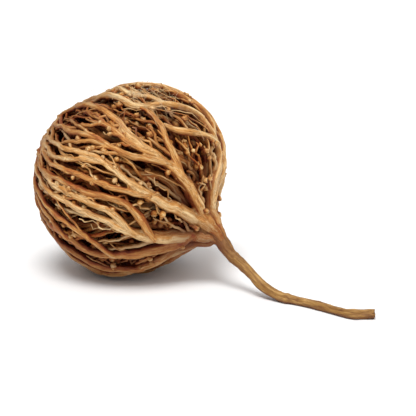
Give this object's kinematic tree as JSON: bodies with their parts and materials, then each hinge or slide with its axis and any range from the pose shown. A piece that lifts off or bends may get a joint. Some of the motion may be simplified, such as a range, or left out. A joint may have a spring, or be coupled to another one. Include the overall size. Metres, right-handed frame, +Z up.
{
  "type": "rose of jericho",
  "caption": "Dried rose of Jericho curled into a ball: forking woody branches close over its mouth, and it lies on its side with a crooked taproot.",
  "frame": {"origin": "the small flat spot under the ball, on the surface that the plant lies on, straight below the ball's centre", "axes": "+X the horizontal heading from the ball's centre to the crown and the taproot; +Z up; -Y the side that is on the left seen from behind the taproot"},
  "size_m": [0.1095, 0.0564, 0.0557],
  "materials": {
    "dried_wood": "dried, fluted stems, satin",
    "inner_wood": "dried, rough twigs and pods",
    "root_wood": "dried, wrinkled bark"
  },
  "bodies": {
    "root": {"taproot_and_crown": "root_wood", "outer_branch_1": "dried_wood", "outer_branch_2": "dried_wood", "outer_branch_3": "dried_wood", "outer_branch_4": "dried_wood", "outer_branch_5": "dried_wood", "outer_branch_6": "dried_wood", "middle_branch_1": "inner_wood", "middle_branch_2": "inner_wood", "middle_branch_3": "inner_wood", "middle_branch_4": "inner_wood", "middle_branch_5": "inner_wood", "middle_branch_6": "inner_wood", "inner_branch_1": "inner_wood", "inner_branch_2": "inner_wood", "inner_branch_3": "inner_wood", "inner_branch_4": "inner_wood", "inner_branch_5": "inner_wood", "knotted_heart": "inner_wood"}
  },
  "joints": []
}
